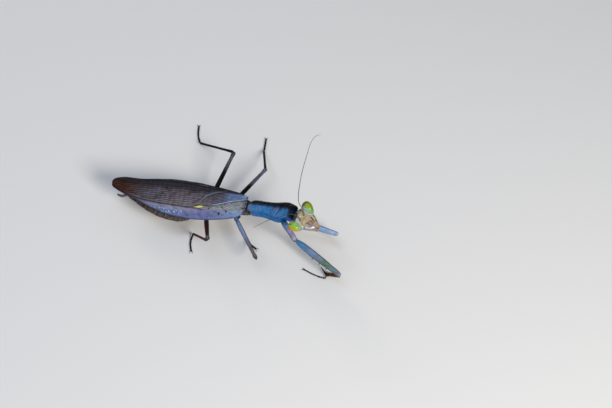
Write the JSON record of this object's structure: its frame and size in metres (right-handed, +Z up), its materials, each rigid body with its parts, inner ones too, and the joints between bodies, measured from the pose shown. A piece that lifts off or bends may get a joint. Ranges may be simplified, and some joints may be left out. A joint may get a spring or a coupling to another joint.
{
  "type": "praying mantis",
  "caption": "Life-size praying mantis standing on the floor, head turned to its right, wings folded over its back and spined grasping forelegs reaching forward.",
  "frame": {"origin": "on the floor under the middle of the mantis's bounding box", "axes": "+X towards the head along the wings, +Y to the mantis's left, +Z up"},
  "size_m": [0.0728, 0.0536, 0.0348],
  "materials": {
    "shell": "smooth blue-grey shell with a soft sheen",
    "wing": "leathery, finely veined, grey-violet to brown",
    "eye": "glossy green",
    "face": "mottled beige and olive, slightly glossy",
    "leg": "grey-blue shading to brown",
    "belly": "brown-grey, banded",
    "feeler": "dark brown, dull"
  },
  "bodies": {
    "root": {"abdomen_1": "belly", "abdomen_2": "belly", "abdomen_3": "belly", "abdomen_4": "belly", "abdomen_5": "belly", "abdomen_6": "belly", "abdomen_7": "belly", "abdomen_8": "belly", "antenna_left": "feeler", "antenna_right": "feeler", "cercus_left": "belly", "cercus_right": "belly", "coxa_fore_left": "shell", "coxa_fore_right": "shell", "coxa_hind_left": "leg", "coxa_hind_right": "leg", "coxa_mid_left": "leg", "coxa_mid_right": "leg", "eye_left": "eye", "eye_right": "eye", "femur_fore_left": "shell", "femur_fore_right": "shell", "femur_hind_left": "leg", "femur_hind_right": "leg", "femur_mid_left": "leg", "femur_mid_right": "leg", "forewing_left": "wing", "forewing_right": "wing", "head": "face", "hindwing_left": "wing", "hindwing_right": "wing", "mouthparts": "face", "neck": "shell", "palp_left": "face", "palp_right": "face", "pronotum": "shell", "prosternum": "shell", "tarsus_fore_left": "leg", "tarsus_fore_right": "leg", "tarsus_hind_left": "leg", "tarsus_hind_right": "leg", "tarsus_mid_left": "leg", "tarsus_mid_right": "leg", "thorax": "belly", "tibia_fore_left": "leg", "tibia_fore_right": "leg", "tibia_hind_left": "leg", "tibia_hind_right": "leg", "tibia_mid_left": "leg", "tibia_mid_right": "leg", "trochanter_fore_left": "shell", "trochanter_fore_right": "shell"}
  },
  "joints": []
}
